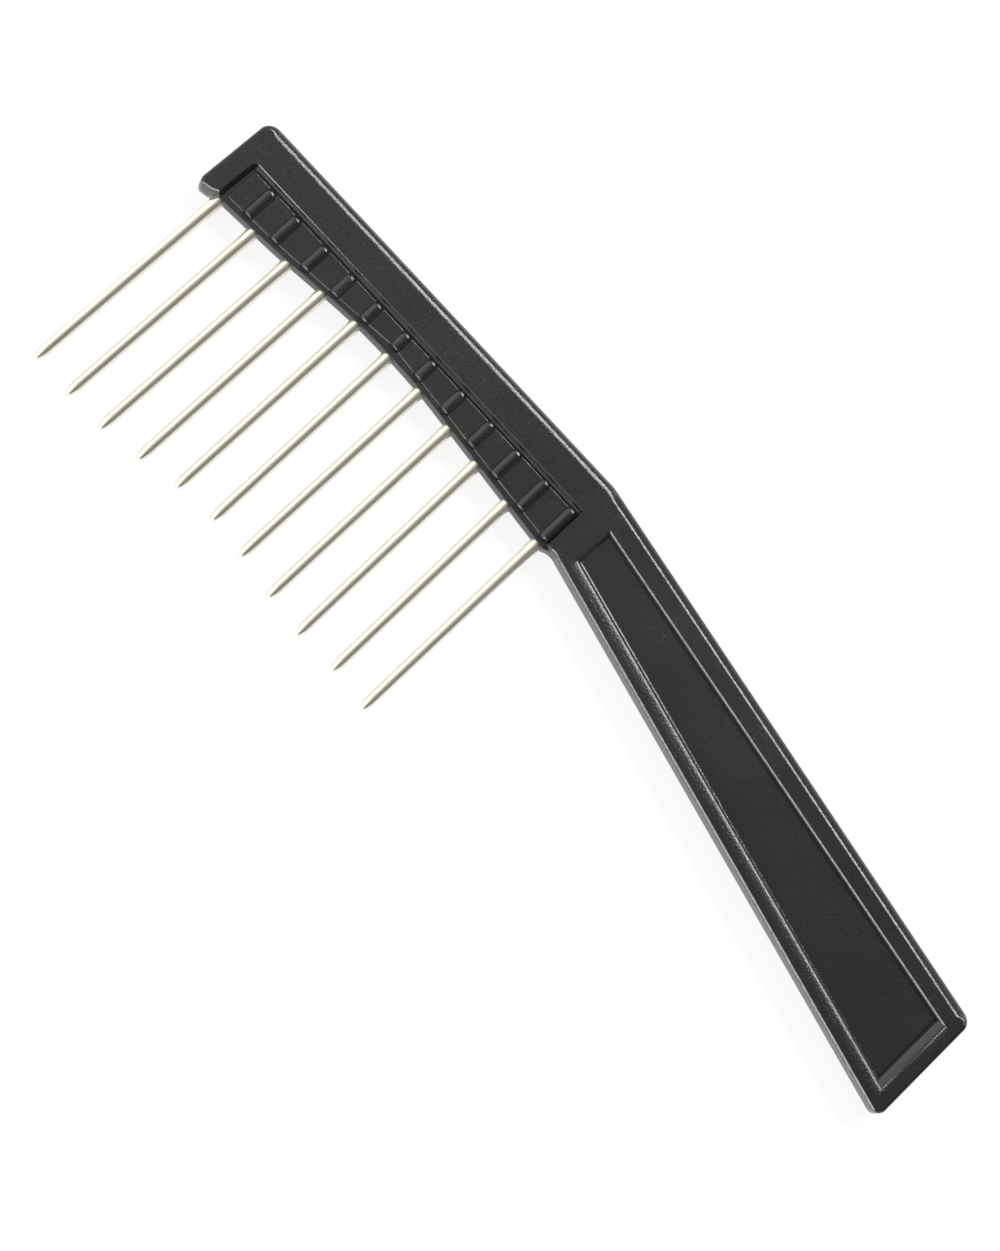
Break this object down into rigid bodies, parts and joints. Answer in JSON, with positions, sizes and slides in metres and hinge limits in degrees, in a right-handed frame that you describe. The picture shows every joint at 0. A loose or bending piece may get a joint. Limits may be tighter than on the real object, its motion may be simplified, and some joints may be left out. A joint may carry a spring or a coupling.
{
  "type": "detangling comb",
  "caption": "Flat black comb whose straight head carries a row of long round steel pins along one edge and runs on into a slightly bent, recessed handle.",
  "frame": {"origin": "on the flat back face at the neck, below the point where the head's straight spine bends down into the handle", "axes": "+X runs from the head along to the handle's end, +Y points away from the pins, and +Z runs from the back face to the front face"},
  "size_m": [0.2176, 0.0656, 0.0065],
  "materials": {
    "black_moulded_plastic": "fine satin moulded grain",
    "plated_steel": "bright, slightly warm plating"
  },
  "bodies": {
    "root": {"comb_body": "black_moulded_plastic", "pin_01": "plated_steel", "pin_02": "plated_steel", "pin_03": "plated_steel", "pin_04": "plated_steel", "pin_05": "plated_steel", "pin_06": "plated_steel", "pin_07": "plated_steel", "pin_08": "plated_steel", "pin_09": "plated_steel", "pin_10": "plated_steel", "pin_11": "plated_steel"}
  },
  "joints": []
}
